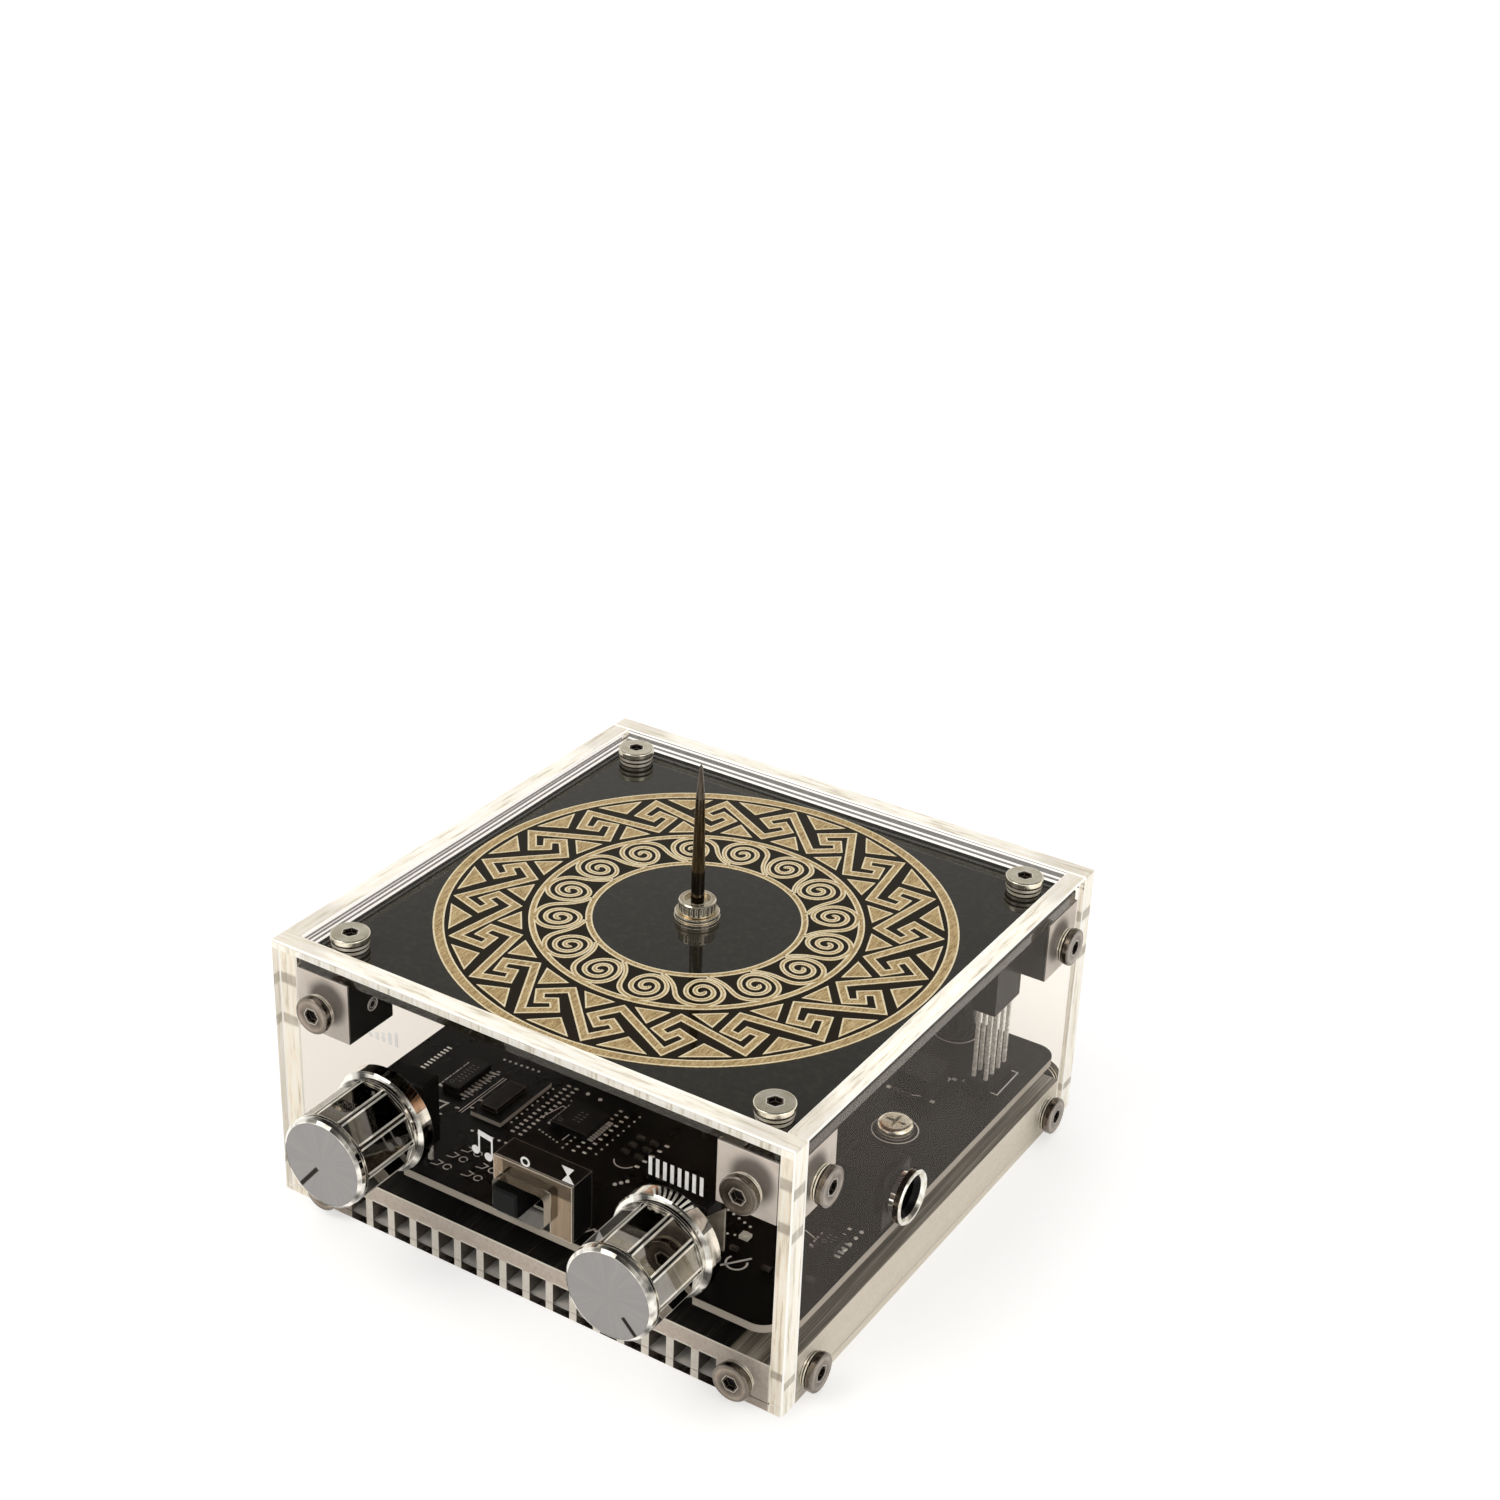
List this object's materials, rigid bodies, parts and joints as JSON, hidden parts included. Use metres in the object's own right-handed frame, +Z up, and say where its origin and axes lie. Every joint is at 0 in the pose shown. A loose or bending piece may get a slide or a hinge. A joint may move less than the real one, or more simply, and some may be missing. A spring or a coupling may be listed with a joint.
{
  "type": "desktop resonant transformer",
  "caption": "Square clear-cased resonant transformer with a gold key ornament around an upright discharge needle, two rotary knobs, a slide switch and a finned base.",
  "frame": {"origin": "centre of the case footprint, on the surface it stands on", "axes": "+Z up along the needle; the knobs and switch face -Y; the power inlet faces +X"},
  "size_m": [0.115, 0.1315, 0.084],
  "materials": {
    "clear_acrylic": "polished clear sheet",
    "black_plate": "glossy lacquered laminate",
    "gold_print": "fine-grained gold plating",
    "nickel": "warm nickel plating",
    "corner_block": "pale moulded plastic",
    "needle_steel": "dark steel",
    "heatsink_black": "black brushed, bare at the cut ends",
    "board_black": "black solder mask",
    "knob_chrome": "mirror plated",
    "knob_satin": "satin, spun",
    "bright_metal": "plain steel",
    "tinned": "tinned",
    "black_plastic": "moulded black",
    "copper": "lacquered copper",
    "capacitor_sleeve": "shrink sleeve",
    "small_part": "ceramic",
    "lamp": "diffusing resin",
    "white_print": "white ink"
  },
  "bodies": {
    "case": {"front_panel": "clear_acrylic", "rear_panel": "clear_acrylic", "left_panel": "clear_acrylic", "right_panel": "clear_acrylic", "top_plate": "black_plate", "key_ring_outer": "gold_print", "key_band": "gold_print", "key_fillers": "gold_print", "scroll_band": "gold_print", "side_screws": "nickel", "side_screw_collars": "nickel", "plate_screws": "nickel", "plate_screw_collars": "nickel", "needle_flange": "nickel", "needle_collar": "nickel", "needle_nut": "nickel", "board_screws": "nickel", "transistor_screws": "nickel", "inlet_sleeve": "nickel", "switch_frame": "nickel", "corner_blocks": "corner_block", "discharge_needle": "needle_steel", "heatsink": "heatsink_black", "main_board": "board_black", "wireless_board": "board_black", "pot_bushings": "bright_metal", "pot_nuts": "bright_metal", "board_standoffs": "bright_metal", "transistor_tabs": "bright_metal", "inlet_pin": "bright_metal", "pot_legs": "tinned", "switch_legs": "tinned", "chip_legs": "tinned", "transistor_legs": "tinned", "header_pins": "tinned", "switch_body": "black_plastic", "left_pot_body": "black_plastic", "right_pot_body": "black_plastic", "wireless_shield": "black_plastic", "inlet_body": "black_plastic", "header_base": "black_plastic", "header_socket": "black_plastic", "control_chip": "black_plastic", "signal_chip": "black_plastic", "driver_chip": "black_plastic", "inductor": "black_plastic", "transistor_bodies": "black_plastic", "secondary_winding": "copper", "primary_winding": "copper", "capacitors": "capacitor_sleeve", "small_parts": "small_part", "status_led": "lamp", "front_marks": "white_print"},
    "left_knob": {"left_knob": "knob_chrome", "left_knob_cap": "knob_satin", "left_pot_shaft": "bright_metal"},
    "right_knob": {"right_knob": "knob_chrome", "right_knob_cap": "knob_satin", "right_pot_shaft": "bright_metal"},
    "mode_lever": {"switch_lever": "black_plastic"}
  },
  "joints": [
    {"name": "left_knob_turn", "type": "hinge", "parent": "case", "child": "left_knob", "pos_m": [-0.0279, -0.0557, 0.0286], "axis": [0, 1, 0], "range_deg": [-9, 291]},
    {"name": "right_knob_turn", "type": "hinge", "parent": "case", "child": "right_knob", "pos_m": [0.0325, -0.0557, 0.0286], "axis": [0, 1, 0], "range_deg": [-286, 14]},
    {"name": "mode_lever_slide", "type": "slide", "parent": "case", "child": "mode_lever", "axis": [1, 0, 0], "range_m": [0, 0.0044]}
  ]
}
